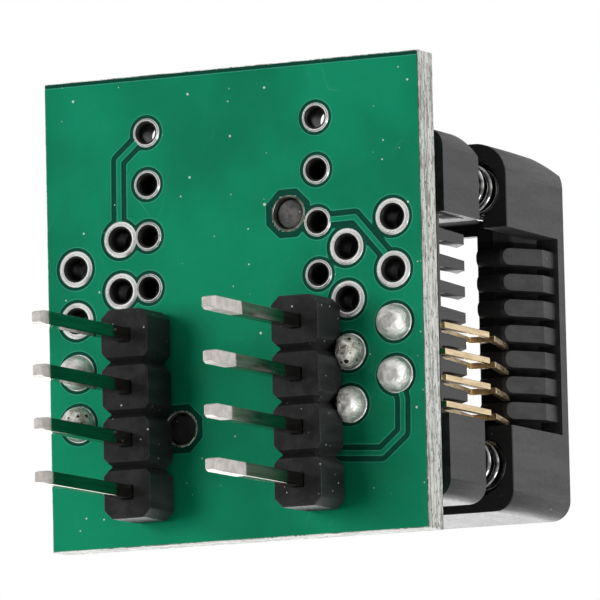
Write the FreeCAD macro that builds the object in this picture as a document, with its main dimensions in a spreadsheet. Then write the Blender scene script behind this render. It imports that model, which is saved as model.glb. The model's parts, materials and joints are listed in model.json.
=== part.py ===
import FreeCAD, Part
import math
import os
import Sketcher

# Chip programming adapter: a circuit board with an open-top spring socket above it and two rows of
# four long pins below it. Z is up, X runs across the two pin rows, Y runs along them. The origin is
# the middle of the eight pins, on the plane of the lower faces of the two header housings.

V = FreeCAD.Vector
doc = FreeCAD.newDocument("ProgrammingAdapter")
sheet = doc.addObject("Spreadsheet::Sheet", "Dims")


class Size:
    """A length that also carries its formula, so one expression gives the number and the binding."""

    def __init__(self, value, text):
        self.value = value
        self.text = text

    def __float__(self):
        return float(self.value)

    def __add__(self, other):
        return Size(self.value + number(other), f"({self.text} + {formula(other)})")

    def __radd__(self, other):
        return Size(number(other) + self.value, f"({formula(other)} + {self.text})")

    def __sub__(self, other):
        return Size(self.value - number(other), f"({self.text} - {formula(other)})")

    def __rsub__(self, other):
        return Size(number(other) - self.value, f"({formula(other)} - {self.text})")

    def __mul__(self, other):
        return Size(self.value * number(other), f"({self.text} * {formula(other)})")

    __rmul__ = __mul__

    def __truediv__(self, other):
        return Size(self.value / number(other), f"({self.text} / {formula(other)})")

    def __neg__(self):
        return Size(-self.value, f"(0 - {self.text})")


def number(value):
    return value.value if isinstance(value, Size) else float(value)


def formula(value):
    return value.text if isinstance(value, Size) else repr(float(value))


driving = [
    # pin headers
    ("pinPitch", 2.54), ("rowSpacing", 9.14), ("rowPins", 4), ("pinSide", 0.64), ("pinReach", 9.45),
    ("pinBevelLength", 0.9), ("pinBevelSide", 0.3), ("pinAboveBoard", 0.6),
    ("headerWidth", 2.5), ("headerHeight", 2.54), ("headerStandoff", 0.3), ("headerNotch", 0.42),
    ("grooveWidth", 0.36), ("grooveDepth", 0.16),
    # circuit board
    ("boardInset", 0.03), ("boardMargin", 2.61), ("boardOffset", 0.22), ("boardThick", 1.6),
    ("columnHoles", 8), ("headerHole", 1.0), ("tailHole", 1.15), ("pegHole", 1.5),
    ("drillSides", 24),
    # socket: chip pitch, rows of solder tails, locating pegs
    ("socketShift", 4.4), ("chipPitch", 1.27), ("rowPositions", 8), ("rowContacts", 4),
    ("tailInset", 1.17), ("tailStagger", 2.46), ("pegAcross", 3.02), ("pegAlong", 5.02),
    ("pegDiameter", 1.4), ("pegShort", 0.25),
    # socket base
    ("baseStandoff", 0.9), ("baseWidth", 20.26), ("postLength", 4.08), ("baseHeight", 4.05),
    ("baseCorner", 0.9), ("floorThick", 0.8), ("combEnd", 0.425), ("combRecess", 0.41),
    ("combThick", 0.8), ("toothHeight", 3.05), ("toothSlope", 0.88), ("slotRoot", 0.64), ("slotTip", 0.78),
    ("slotFloor", 0.25), ("footSide", 1.5),
    ("landWidth", 4.2), ("seatHeight", 4.8), ("flankWidth", 8.4), ("flankDrop", 0.2),
    ("fingerSlotInner", 2.3), ("guideThick", 0.6), ("guideHeight", 6.6), ("guideWidth", 7.0),
    ("bevelDepth", 1.0), ("baseBevelHeight", 1.9),
    # cover
    ("coverGap", 2.95), ("coverOverhang", 0.07), ("coverOverlap", 0.1), ("coverHeight", 6.8),
    ("coverCorner", 1.0), ("coverEndCorner", 1.6), ("bridgeHeight", 0.74), ("plateThick", 1.1),
    ("openingWidth", 12.0), ("openingRoom", 0.43), ("openingBevel", 0.5), ("wallThick", 1.25),
    ("coverBevelHeight", 2.1), ("coverBevelDepth", 0.7), ("ribWidth", 0.83), ("ribFoot", 0.38),
    ("ribInset", 1.2), ("ribLow", 2.8), ("ribLowInset", 1.5), ("ribHighInset", 0.25), ("ribKnee", 4.72),
    ("camRest", 0.25), ("camSlope", 0.5), ("camFoot", 0.42), ("guideGap", 0.4), ("endDraft", 0.25),
    # cover guides and hooks
    ("hookWidth", 2.6), ("hookThick", 0.7), ("hookNub", 0.4), ("hookNubHeight", 0.5),
    ("hookReach", 2.0), ("hookSlide", 0.12), ("ledgeThick", 0.5),
    # return springs
    ("springInset", 1.81), ("springEndInset", 2.18), ("springDiameter", 2.66), ("springWire", 0.3),
    ("springTurns", 6.5), ("turnSteps", 10), ("springClearance", 0.18), ("basePocket", 1.0),
    ("coverPocket", 2.9),
    # contacts
    ("stockThick", 0.3), ("tailWidth", 0.44), ("tailReach", 0.9), ("strip", 0.3),
    ("postHeight", 5.1), ("riserGap", 0.6), ("barHeight", 0.6),
    ("contactGap", 0.06), ("restInner", 2.75), ("restDrop", 0.1),
    ("pivotInset", 0.82), ("pivotHeight", 1.85), ("elbowInset", 0.8), ("elbowHeight", 6.75),
    ("shoulderOut", 0.45), ("shoulderHeight", 6.9), ("leverInset", 0.45), ("leverHeight", 10.35),
    ("fingerRise", 0.5), ("fingerAcross", 4.2), ("fingerTip", 3.0), ("fingerGap", 0.2),
    # solder
    ("solderRadius", 0.88), ("solderShoulder", 0.8), ("solderHeight", 1.0), ("solderCrown", 0.3),
    ("solderSides", 8), ("solderGap", 0.04), ("headerSolderRadius", 0.75),
    ("headerSolderShoulder", 0.5), ("headerSolderHeight", 0.45), ("headerSolderNeck", 0.46),
]

# sizes that follow from others, so that pieces that meet stay together
derived = [
    ("boardWidth", "baseWidth - 2 * boardInset"),
    ("boardLength", "pinPitch * (columnHoles - 1) + 2 * boardMargin"),
    ("boardShift", "pinPitch * (columnHoles - rowPins) / 2 + boardOffset"),
    ("combLength", "chipPitch * (rowPositions - 1) + 2 * combEnd"),
    ("combFace", "baseWidth / 2 - combRecess"),
    ("baseLength", "combLength + 2 * postLength"),
    ("outerTails", "combFace - tailInset"),
    ("innerTails", "outerTails - tailStagger"),
    ("coverWidth", "baseWidth + 2 * coverOverhang"),
    ("coverLength", "baseLength + 2 * coverOverlap"),
    ("openingLength", "combLength + 2 * openingRoom"),
    ("springAcross", "baseWidth / 2 - springInset"),
    ("springAlong", "baseLength / 2 - springEndInset"),
    ("pivotAcross", "combFace - pivotInset"),
    ("elbowAcross", "pivotAcross - elbowInset"),
    ("shoulderAcross", "pivotAcross + shoulderOut"),
    ("leverAcross", "pivotAcross - leverInset"),
    ("ribInner", "leverAcross - ribInset"),
    ("ribOuterLow", "coverWidth / 2 - ribLowInset"),
    ("ribOuterHigh", "coverWidth / 2 - ribHighInset"),
]

for row, (alias, value) in enumerate(driving + derived, start=1):
    sheet.set(f"A{row}", alias)
    sheet.set(f"B{row}", f"={value}" if isinstance(value, str) else str(value))
    sheet.setAlias(f"B{row}", alias)
doc.recompute()
size = {alias: Size(float(sheet.get(alias)), f"Dims.{alias}") for alias, value in driving + derived}

# levels, from the header's lower face up
boardBottom = size["headerHeight"] + size["headerStandoff"]
boardTop = boardBottom + size["boardThick"]
baseBottom = boardTop + size["baseStandoff"]
baseTop = baseBottom + size["baseHeight"]
floorTop = baseBottom + size["floorThick"]
seatTop = baseBottom + size["seatHeight"]
flankTop = seatTop - size["flankDrop"]
coverBottom = baseTop + size["coverGap"]
coverTop = coverBottom + size["coverHeight"]
plateBottom = coverTop - size["plateThick"]
ribBottom = coverBottom + size["ribLow"]
leverTop = baseBottom + size["leverHeight"]

finished = []


def bind(feature, name, value):
    feature.setExpression(name, formula(value))


def newBody(label, along=0.0):
    """A body whose own origin lies at the given place along Y."""
    body = doc.addObject("PartDesign::Body", label)
    body.Label = label
    bind(body, "Placement.Base.y", along)
    finished.append(body)
    return body


def box(body, name, low, high, cut=False):
    """An added or cut box between two corners, each coordinate a number or a Size."""
    kind = "PartDesign::SubtractiveBox" if cut else "PartDesign::AdditiveBox"
    feature = body.newObject(kind, name)
    for side, axis, a, b in zip(("Length", "Width", "Height"), "xyz", low, high):
        bind(feature, side, b - a)
        bind(feature, f"Placement.Base.{axis}", a)
    return feature


def cylinder(body, name, centre, diameter, bottom, top, cut=False):
    kind = "PartDesign::SubtractiveCylinder" if cut else "PartDesign::AdditiveCylinder"
    feature = body.newObject(kind, name)
    bind(feature, "Radius", diameter / 2)
    bind(feature, "Height", top - bottom)
    bind(feature, "Placement.Base.x", centre[0])
    bind(feature, "Placement.Base.y", centre[1])
    bind(feature, "Placement.Base.z", bottom)
    return feature


def drill(body, name, centre, diameter, bottom, top):
    """A drilled hole, many-sided so that a board full of holes keeps few facets."""
    hole = body.newObject("PartDesign::SubtractivePrism", name)
    hole.Polygon = int(number(size["drillSides"]))
    bind(hole, "Circumradius", diameter / 2)
    bind(hole, "Height", top - bottom)
    bind(hole, "Placement.Base.x", centre[0])
    bind(hole, "Placement.Base.y", centre[1])
    bind(hole, "Placement.Base.z", bottom)
    return hole


def axisOf(body, role):
    return next(item for item in body.Origin.OriginFeatures if item.Role == role)


def repeat(body, features, role, pitch, count):
    """A row of copies of the given features along one of the body's axes."""
    row = body.newObject("PartDesign::LinearPattern", "Row")
    row.Originals = features
    row.Direction = (axisOf(body, role), [""])
    row.Occurrences = int(round(number(count)))
    bind(row, "Length", pitch * (row.Occurrences - 1))
    body.Tip = row


def profile(body, name, role, corners, offset=0.0):
    """A closed outline on an origin plane, every corner tied to the sheet by its two coordinates."""
    sketch = body.newObject("Sketcher::SketchObject", name)
    sketch.AttachmentSupport = (axisOf(body, role), [""])
    sketch.MapMode = "FlatFace"
    bind(sketch, "AttachmentOffset.Base.z", offset)
    points = [V(number(across), number(up), 0) for across, up in corners]
    for index, point in enumerate(points):
        sketch.addGeometry(Part.LineSegment(point, points[(index + 1) % len(points)]), False)
    for index in range(len(points)):
        following = (index + 1) % len(points)
        sketch.addConstraint(Sketcher.Constraint("Coincident", index, 2, following, 1))
    for index, corner in enumerate(corners):
        for kind, value in zip(("DistanceX", "DistanceY"), corner):
            amount = number(value)
            if abs(amount) < 1e-9:
                axis = -2 if kind == "DistanceX" else -1
                sketch.addConstraint(Sketcher.Constraint("PointOnObject", index, 1, axis))
                continue
            ends = (-1, 1, index, 1) if amount > 0 else (index, 1, -1, 1)
            datum = sketch.addConstraint(Sketcher.Constraint(kind, *ends, abs(amount)))
            sketch.setExpression(f"Constraints[{datum}]", formula(value if amount > 0 else -value))
    return sketch


def extrude(body, name, sketch, length, cut=False, both=False, reverse=False):
    feature = body.newObject("PartDesign::Pocket" if cut else "PartDesign::Pad", name)
    feature.Profile = sketch
    bind(feature, "Length", length)
    feature.Midplane = both
    feature.Reversed = reverse
    return feature


def edgesWhere(feature, chosen):
    """Names of the feature's edges that satisfy the test on their middle and direction."""
    names = []
    for index, edge in enumerate(feature.Shape.Edges, start=1):
        middle = edge.valueAt((edge.FirstParameter + edge.LastParameter) / 2)
        along = edge.valueAt(edge.LastParameter) - edge.valueAt(edge.FirstParameter)
        if chosen(middle, along, edge):
            names.append(f"Edge{index}")
    return names


def dress(body, kind, feature, amount, chosen):
    """A fillet or chamfer on the chosen edges of the feature before it."""
    doc.recompute()
    names = edgesWhere(feature, chosen)
    if not names:
        raise RuntimeError(f"{body.Label}: no edge for a {kind}")
    finish = body.newObject(f"PartDesign::{kind}", kind)
    finish.Base = (feature, names)
    bind(finish, "Radius" if kind == "Fillet" else "Size", amount)
    body.Tip = finish
    return finish


def upright(along):
    return abs(along.x) < 1e-6 and abs(along.y) < 1e-6


def solidNode(label, shape, place=V(0, 0, 0)):
    """A node whose form needs modelling calls that no PartDesign feature gives."""
    feature = doc.addObject("Part::Feature", label)
    feature.Label = label
    feature.Shape = shape
    feature.Placement = FreeCAD.Placement(place, FreeCAD.Rotation())
    finished.append(feature)
    return feature


def rowSide(row):
    return 1 if row == "a" else -1


# circuit board with its two columns of header holes, staggered socket holes and peg holes
def makeBoard():
    board = newBody("circuit_board", size["boardShift"])
    half = size["boardWidth"] / 2
    end = size["boardLength"] / 2
    box(board, "Laminate", (-half, -end, boardBottom), (half, end, boardTop))
    firstPin = -(size["pinPitch"] * (size["rowPins"] - 1) / 2) - size["boardShift"]
    for side in (1, -1):
        place = (side * size["rowSpacing"] / 2, firstPin)
        hole = drill(board, "HeaderHole", place, size["headerHole"], boardBottom, boardTop)
        repeat(board, [hole], "Y_Axis", size["pinPitch"], size["columnHoles"])
    middle = size["socketShift"] - size["boardShift"]
    last = size["chipPitch"] * (size["rowPositions"] - 1) / 2
    for side in (1, -1):
        for across, start in ((size["outerTails"], 0), (size["innerTails"], 1)):
            odd = start if side > 0 else 1 - start
            place = (side * across, middle - last + size["chipPitch"] * odd)
            hole = drill(board, "TailHole", place, size["tailHole"], boardBottom, boardTop)
            repeat(board, [hole], "Y_Axis", size["chipPitch"] * 2, size["rowPositions"] / 2)
    for side in (1, -1):
        place = (side * size["pegAcross"], middle - side * size["pegAlong"])
        drill(board, "PegHole", place, size["pegHole"], boardBottom, boardTop)


# header housing: one moulded strip of four blocks, the corners of each block cut back
def makeHousing(row):
    housing = newBody(f"header_housing_{row}")
    centre = rowSide(row) * size["rowSpacing"] / 2
    half = size["headerWidth"] / 2
    length = size["pinPitch"] * size["rowPins"]
    top = size["headerHeight"]
    box(housing, "Strip", (centre - half, -(length / 2), 0.0), (centre + half, length / 2, top))
    notch = size["headerNotch"]
    for side in (1, -1):
        wall = centre + side * half
        start = -(length / 2)
        corners = [(wall, start - notch), (wall, start + notch), (wall - side * notch, start)]
        sketch = profile(housing, "NotchOutline", "XY_Plane", corners)
        cut = extrude(housing, "Notch", sketch, top, cut=True, reverse=True)
        repeat(housing, [cut], "Y_Axis", size["pinPitch"], size["rowPins"] + 1)
    groove = size["grooveWidth"] / 2
    start = size["pinPitch"] * (1 - size["rowPins"] / 2)
    corners = [(start - groove, 0.0), (start + groove, 0.0), (start, size["grooveDepth"])]
    sketch = profile(housing, "GrooveOutline", "YZ_Plane", corners, centre - half)
    cut = extrude(housing, "Groove", sketch, size["headerWidth"], cut=True, reverse=True)
    repeat(housing, [cut], "Y_Axis", size["pinPitch"], size["rowPins"] - 1)
    pin = size["pinSide"] / 2
    first = -(size["pinPitch"] * (size["rowPins"] - 1) / 2)
    hole = box(housing, "PinHole", (centre - pin, first - pin, 0.0), (centre + pin, first + pin, top), True)
    repeat(housing, [hole], "Y_Axis", size["pinPitch"], size["rowPins"])


# header pin: a square post, drawn in to a blunt point at both ends
def makePin(row, index):
    place = size["pinPitch"] * (index - 1) - size["pinPitch"] * (size["rowPins"] - 1) / 2
    pin = newBody(f"header_pin_{row}{index}", place)
    centre = rowSide(row) * size["rowSpacing"] / 2
    half = size["pinSide"] / 2
    bottom = size["pinBevelLength"] - size["pinReach"]
    top = boardTop + size["pinAboveBoard"] - size["pinBevelLength"] / 2
    box(pin, "Post", (centre - half, -half, bottom), (centre + half, half, top))
    point = size["pinBevelSide"] / 2
    rise = size["pinBevelLength"]
    for start, length, turn in ((bottom, rise, -90), (top, rise / 2, 90)):
        blunt = pin.newObject("PartDesign::AdditiveWedge", "Point")
        for name, value in (("Xmin", -half), ("Xmax", half), ("Zmin", -half), ("Zmax", half),
                            ("X2min", -point), ("X2max", point), ("Z2min", -point), ("Z2max", point),
                            ("Ymin", 0.0), ("Ymax", length)):
            bind(blunt, name, value)
        blunt.Placement = FreeCAD.Placement(V(0, 0, 0), FreeCAD.Rotation(V(1, 0, 0), turn))
        bind(blunt, "Placement.Base.x", centre)
        bind(blunt, "Placement.Base.z", start)


# socket base: floor, four corner posts with spring pockets, two comb walls, chip seat and pegs
def makeBase():
    base = newBody("socket_base", size["socketShift"])
    half = size["baseWidth"] / 2
    end = size["baseLength"] / 2
    block = box(base, "Block", (-half, -end, baseBottom), (half, end, baseTop))
    dress(base, "Fillet", block, size["baseCorner"], lambda mid, along, edge: upright(along))
    comb = size["combLength"] / 2
    face = size["combFace"]
    inner = face - size["combThick"]
    flank = size["flankWidth"] / 2
    toothTop = baseBottom + size["toothHeight"]
    box(base, "Middle", (-inner, -comb, toothTop), (inner, comb, baseTop), True)
    for side in (1, -1):
        low, high = (flank, inner) if side > 0 else (-inner, -flank)
        box(base, "Trough", (low, -comb, floorTop), (high, comb, toothTop), True)
        low, high = (face, half) if side > 0 else (-half, -face)
        box(base, "Recess", (low, -comb, baseBottom), (high, comb, baseTop), True)
        corners = [(side * face, toothTop), (side * face, baseTop), (side * inner, baseTop),
                   (side * inner, toothTop + size["toothSlope"])]
        sketch = profile(base, "ToothSlope", "XZ_Plane", corners)
        extrude(base, "ToothTop", sketch, comb * 2, cut=True, both=True)
    # chip seat: a raised land between two lower flanks, with an upright guide at each end
    box(base, "Flank", (-flank, -comb, floorTop), (flank, comb, flankTop))
    land = size["landWidth"] / 2
    box(base, "Land", (-land, -comb, floorTop), (land, comb, seatTop))
    guide = size["guideWidth"] / 2
    thick = size["guideThick"]
    for side in (1, -1):
        low, high = (comb, comb + thick) if side > 0 else (-comb - thick, -comb)
        box(base, "Guide", (-guide, low, floorTop), (guide, high, baseBottom + size["guideHeight"]))
    # the slots that part the teeth and carry the contacts
    last = size["chipPitch"] * (size["rowPositions"] - 1) / 2
    low = baseBottom + size["slotFloor"]
    slots = []
    for side in (1, -1):
        root = size["slotRoot"] / 2
        tip = size["slotTip"] / 2
        corners = [(-last - root, low), (-last + root, low), (-last + tip, toothTop),
                   (-last + tip, baseTop), (-last - tip, baseTop), (-last - tip, toothTop)]
        sketch = profile(base, "SlotOutline", "YZ_Plane", corners, side * flank)
        slots.append(extrude(base, "CombSlot", sketch, half - flank, cut=True, reverse=side > 0))
    root = size["slotRoot"] / 2
    for side in (1, -1):
        a, b = (size["fingerSlotInner"], flank) if side > 0 else (-flank, -size["fingerSlotInner"])
        slots.append(box(base, "FingerSlot", (a, -last - root, low), (b, -last + root, flankTop), True))
    for slot in slots:
        repeat(base, [slot], "Y_Axis", size["chipPitch"], size["rowPositions"])
    # tail holes through the floor, staggered as the board's holes are
    tail = (size["tailWidth"] + size["contactGap"] * 4) / 2
    for side in (1, -1):
        for across, start in ((size["outerTails"], 0), (size["innerTails"], 1)):
            odd = start if side > 0 else 1 - start
            at = -last + size["chipPitch"] * odd
            x = side * across
            hole = box(base, "TailHole", (x - tail, at - root, baseBottom), (x + tail, at + root, floorTop), True)
            repeat(base, [hole], "Y_Axis", size["chipPitch"] * 2, size["rowPositions"] / 2)
    # spring pockets in the corner posts
    pocket = size["springDiameter"] + size["springClearance"] * 2
    for x in (size["springAcross"], -size["springAcross"]):
        for y in (size["springAlong"], -size["springAlong"]):
            cylinder(base, "SpringPocket", (x, y), pocket, baseTop - size["basePocket"], baseTop, True)
    # guide slot for the cover's hook at each end, with the ledge that the hook catches under
    hook = size["hookWidth"] / 2 + size["hookSlide"]
    ledge = baseBottom + size["hookReach"] + size["hookNubHeight"] + size["hookSlide"]
    for side in (1, -1):
        outer = side * (end - size["ledgeThick"])
        innerWall = side * (end - size["ledgeThick"] - size["hookThick"] - size["hookSlide"] * 2)
        low, high = (innerWall, outer) if side > 0 else (outer, innerWall)
        box(base, "HookWay", (-hook, low, baseBottom), (hook, high, baseTop), True)
        low, high = (outer, side * end) if side > 0 else (side * end, outer)
        box(base, "HookWindow", (-hook, low, baseBottom), (hook, high, ledge), True)
    # bevelled upper edge at the first-pin end
    rise = size["baseBevelHeight"]
    corners = [(end - size["bevelDepth"], baseTop), (end, baseTop), (end, baseTop - rise)]
    sketch = profile(base, "BevelOutline", "YZ_Plane", corners)
    extrude(base, "Bevel", sketch, size["baseWidth"], cut=True, both=True)
    # feet on the board and the two pegs that go through it
    foot = size["footSide"]
    for x in (1, -1):
        for y in (1, -1):
            cornerX = x * (half - size["baseCorner"])
            cornerY = y * (end - size["baseCorner"])
            lowX, highX = (cornerX - foot, cornerX) if x > 0 else (cornerX, cornerX + foot)
            lowY, highY = (cornerY - foot, cornerY) if y > 0 else (cornerY, cornerY + foot)
            box(base, "Foot", (lowX, lowY, boardTop), (highX, highY, baseBottom))
    for side in (1, -1):
        place = (side * size["pegAcross"], -(side * size["pegAlong"]))
        cylinder(base, "Peg", place, size["pegDiameter"], boardBottom + size["pegShort"], floorTop)


# cover: a frame round the chip opening, open at both sides, with a cam rail and seven ribs a side
def makeCover():
    cover = newBody("socket_cover", size["socketShift"])
    half = size["coverWidth"] / 2
    end = size["coverLength"] / 2
    block = box(cover, "Block", (-half, -end, coverBottom), (half, end, coverTop))
    near = dress(cover, "Fillet", block, size["coverCorner"],
                 lambda mid, along, edge: upright(along) and mid.y < 0)
    straight = number(end) - 1e-4
    dress(cover, "Fillet", near, size["coverEndCorner"],
          lambda mid, along, edge: upright(along) and mid.y > straight)
    cavity = size["combLength"] / 2 + size["guideThick"] + size["guideGap"]
    wall = half - size["wallThick"]
    box(cover, "Cavity", (-wall, -cavity, coverBottom), (wall, cavity, plateBottom), True)
    window = size["combLength"] / 2
    bridge = coverTop - size["bridgeHeight"]
    for side in (1, -1):
        low, high = (wall, half) if side > 0 else (-half, -wall)
        box(cover, "Window", (low, -window, coverBottom), (high, window, bridge), True)
    # cam rails
    railLow = ribBottom + size["camFoot"]
    camAtLever = size["leverAcross"] - size["strip"] / 2 - size["camRest"]
    for side in (1, -1):
        corners = [(side * size["ribInner"], plateBottom), (side * size["ribInner"], railLow),
                   (side * (camAtLever - size["camSlope"] * (leverTop - railLow)), railLow),
                   (side * (camAtLever + size["camSlope"] * (plateBottom - leverTop)), plateBottom)]
        sketch = profile(cover, "RailOutline", "XZ_Plane", corners)
        extrude(cover, "CamRail", sketch, cavity * 2, both=True)
    # ribs between the contact levers
    ribs = size["rowPositions"] - 1
    first = -(size["chipPitch"] * (size["rowPositions"] - 2) / 2)
    thick = size["ribWidth"] / 2
    for side in (1, -1):
        a, b = size["ribInner"], size["ribOuterHigh"]
        low, high = (a, b) if side > 0 else (-b, -a)
        rib = box(cover, "Rib", (low, first - thick, ribBottom), (high, first + thick, bridge))
        repeat(cover, [rib], "Y_Axis", size["chipPitch"], ribs)
    low, knee = size["ribOuterLow"], coverBottom + size["ribKnee"]
    for side in (1, -1):
        corners = [(side * low, ribBottom), (side * half, ribBottom), (side * half, knee),
                   (side * size["ribOuterHigh"], knee)]
        sketch = profile(cover, "RibSlope", "XZ_Plane", corners)
        slope = extrude(cover, "RibFace", sketch, size["combLength"], cut=True, both=True)
    foot = number(ribBottom)
    dress(cover, "Fillet", slope, size["ribFoot"],
          lambda mid, along, edge: abs(mid.z - foot) < 1e-4 and abs(along.y) + abs(along.z) < 1e-6)
    # spring pockets
    pocket = size["springDiameter"] + size["springClearance"] * 2
    for x in (size["springAcross"], -size["springAcross"]):
        for y in (size["springAlong"], -size["springAlong"]):
            cylinder(cover, "SpringPocket", (x, y), pocket, coverBottom, coverBottom + size["coverPocket"], True)
    # hooks that hold the cover down against its springs
    hook = size["hookWidth"] / 2
    hookLow = baseBottom + size["hookReach"]
    for side in (1, -1):
        outer = size["baseLength"] / 2 - size["ledgeThick"] - size["hookSlide"]
        a, b = outer - size["hookThick"], outer
        low, high = (a, b) if side > 0 else (-b, -a)
        box(cover, "HookLeg", (-hook, low, hookLow), (hook, high, coverBottom + size["hookThick"]))
        a, b = outer, outer + size["hookNub"]
        low, high = (a, b) if side > 0 else (-b, -a)
        box(cover, "HookNub", (-hook, low, hookLow), (hook, high, hookLow + size["hookNubHeight"]))
    # drafted and bevelled end above the first contact position
    rise = size["coverBevelHeight"]
    draft = size["endDraft"]
    corners = [(end, coverBottom), (end, coverTop), (end - draft - size["coverBevelDepth"], coverTop),
               (end - draft, coverTop - rise)]
    sketch = profile(cover, "EndOutline", "YZ_Plane", corners)
    extrude(cover, "EndBevel", sketch, size["coverWidth"], cut=True, both=True)
    # chip opening with a bevelled lip
    x, y = size["openingWidth"] / 2, size["openingLength"] / 2
    opening = box(cover, "Opening", (-x, -y, plateBottom), (x, y, coverTop), True)
    lip = number(coverTop)
    dress(cover, "Chamfer", opening, size["openingBevel"],
          lambda mid, along, edge: abs(mid.z - lip) < 1e-4 and abs(mid.x) < number(x) + 1e-4
          and abs(mid.y) < number(y) + 1e-4)


def contactPlace(index):
    last = size["chipPitch"] * (size["rowPositions"] - 1) / 2
    return size["socketShift"] - last + size["chipPitch"] * (index - 1)


def tailAcross(row, index):
    """Odd contacts of row a and even ones of row b have the outer tail."""
    outer = (index % 2 == 1) == (row == "a")
    return size["outerTails"] if outer else size["innerTails"]


restTop = seatTop - size["restDrop"]


# contact, fixed half: solder tail, floor bar, outer post and the rest under the chip's lead
def makeContact(row, index):
    contact = newBody(f"contact_{row}{index}", contactPlace(index))
    side = rowSide(row)
    strip = size["strip"]
    tail = tailAcross(row, index)
    width = size["tailWidth"] / 2
    low = boardBottom - size["tailReach"]
    barLow = floorTop + size["contactGap"]
    barTop = barLow + size["barHeight"]
    post = size["combFace"]
    riser = size["flankWidth"] / 2 + size["riserGap"]
    outline = [(tail - width, low), (tail + width, low), (tail + width, barLow), (post, barLow),
               (post, baseBottom), (post + strip, baseBottom), (post + strip, baseBottom + size["postHeight"]),
               (post, baseBottom + size["postHeight"]), (post, barTop), (riser + strip, barTop),
               (riser + strip, restTop), (size["restInner"], restTop), (size["restInner"], restTop - strip),
               (riser, restTop - strip), (riser, barLow), (tail - width, barLow)]
    sketch = profile(contact, "Outline", "XZ_Plane", [(side * x, z) for x, z in outline])
    extrude(contact, "Stamping", sketch, size["stockThick"], both=True)


def stroke(points, width):
    """A face of even width along a chain of points in the XZ plane, mitred at the corners."""
    line = [V(number(x), 0, number(z)) for x, z in points]
    ways = [(b - a).normalize() for a, b in zip(line, line[1:])]
    sides = [V(-way.z, 0, way.x) * (number(width) / 2) for way in ways]
    edge = [sides[0]]
    for before, after in zip(sides, sides[1:]):
        middle = before + after
        edge.append(middle * (2 * before.dot(before) / middle.dot(middle)))
    edge.append(sides[-1])
    outline = [point + out for point, out in zip(line, edge)]
    outline += [point - out for point, out in zip(reversed(line), reversed(edge))]
    return Part.Face(Part.makePolygon(outline + outline[:1]))


# contact, sprung half: leaf, shoulder and lever in one line, with the finger over the chip's lead
def makeArm(row, index):
    side = rowSide(row)
    pivot = (side * size["pivotAcross"], baseBottom + size["pivotHeight"])
    elbow = (side * size["elbowAcross"], baseBottom + size["elbowHeight"])
    shoulder = (side * size["shoulderAcross"], baseBottom + size["shoulderHeight"])
    lever = (side * size["leverAcross"], leverTop)
    bend = (side * size["fingerAcross"], baseBottom + size["elbowHeight"] + size["fingerRise"])
    tip = (side * size["fingerTip"], restTop + size["fingerGap"] + size["strip"] / 2)
    flat = stroke([pivot, elbow, shoulder, lever], size["strip"])
    flat = flat.fuse(stroke([elbow, bend, tip], size["strip"])).removeSplitter()
    thick = number(size["stockThick"])
    solid = flat.Faces[0].extrude(V(0, thick, 0))
    solidNode(f"contact_arm_{row}{index}", solid, V(0, number(contactPlace(index)) - thick / 2, 0))


def triangle(a, b, c):
    return Part.Face(Part.makePolygon([a, b, c, a]))


# return spring: a coil in short straight steps between the bottoms of the base's and the cover's pockets
def makeSpring(order, x, y):
    bottom = number(baseTop - size["basePocket"])
    top = number(coverBottom + size["coverPocket"])
    wire = number(size["springWire"])
    radius = (number(size["springDiameter"]) - wire) / 2
    rise = top - bottom - wire
    steps = int(number(size["springTurns"] * size["turnSteps"]))
    rings = []
    for step in range(steps + 1):
        turn = 2 * math.pi * step / number(size["turnSteps"])
        out = V(math.cos(turn), math.sin(turn), 0)
        middle = out * radius + V(0, 0, rise * step / steps)
        rings.append([middle + out * (a * wire / 2) + V(0, 0, b * wire / 2)
                      for a, b in ((1, 0), (0, 1), (-1, 0), (0, -1))])
    faces = [triangle(rings[0][0], rings[0][2], rings[0][1]), triangle(rings[0][0], rings[0][3], rings[0][2]),
             triangle(rings[-1][0], rings[-1][1], rings[-1][2]), triangle(rings[-1][0], rings[-1][2], rings[-1][3])]
    for one, other in zip(rings, rings[1:]):
        for corner in range(4):
            following = (corner + 1) % 4
            faces.append(triangle(one[corner], one[following], other[following]))
            faces.append(triangle(one[corner], other[following], other[corner]))
    spring = Part.Solid(Part.makeShell(faces))
    solidNode(f"return_spring_{order}", spring, V(number(x), number(y), bottom + wire / 2))


def solderJoint(x, y, level, radii, heights, down):
    """A solder joint on the board as a stack of many-sided frustums, the widest at the board."""
    sides = int(number(size["solderSides"]))
    sign = -1 if down else 1
    rings = []
    for radius, height in zip(radii, heights):
        ring = [V(x + radius * math.cos(2 * math.pi * step / sides), y + radius * math.sin(2 * math.pi * step / sides),
                  level + sign * height) for step in range(sides + 1)]
        rings.append(Part.Wire(Part.makePolygon(ring)))
    return Part.makeLoft(rings, True, True)


def makeSocketSolder():
    """Domes on the socket's tails, those of the inner tails cut off flat at the header housings."""
    joints = []
    level = number(boardBottom)
    height = number(size["solderHeight"])
    radii = [number(size[name]) for name in ("solderRadius", "solderShoulder", "solderCrown")]
    wide, thick = number(size["tailWidth"]), number(size["stockThick"])
    gap = number(size["solderGap"])
    housingWidth = number(size["headerWidth"]) + gap * 2
    housingLength = number(size["pinPitch"] * size["rowPins"]) + gap * 2
    for row in "ab":
        centre = rowSide(row) * number(size["rowSpacing"]) / 2
        housing = Part.makeBox(housingWidth, housingLength, level,
                               V(centre - housingWidth / 2, -housingLength / 2, 0))
        for index in range(1, int(number(size["rowContacts"])) + 1):
            x = rowSide(row) * number(tailAcross(row, index))
            y = number(contactPlace(index))
            dome = solderJoint(x, y, level, radii, (0, height / 2, height), True)
            tail = Part.makeBox(wide, thick, height * 2, V(x - wide / 2, y - thick / 2, level - height))
            joints.append(dome.cut([tail, housing]))
    solidNode("socket_solder_joints", Part.makeCompound(joints))


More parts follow.
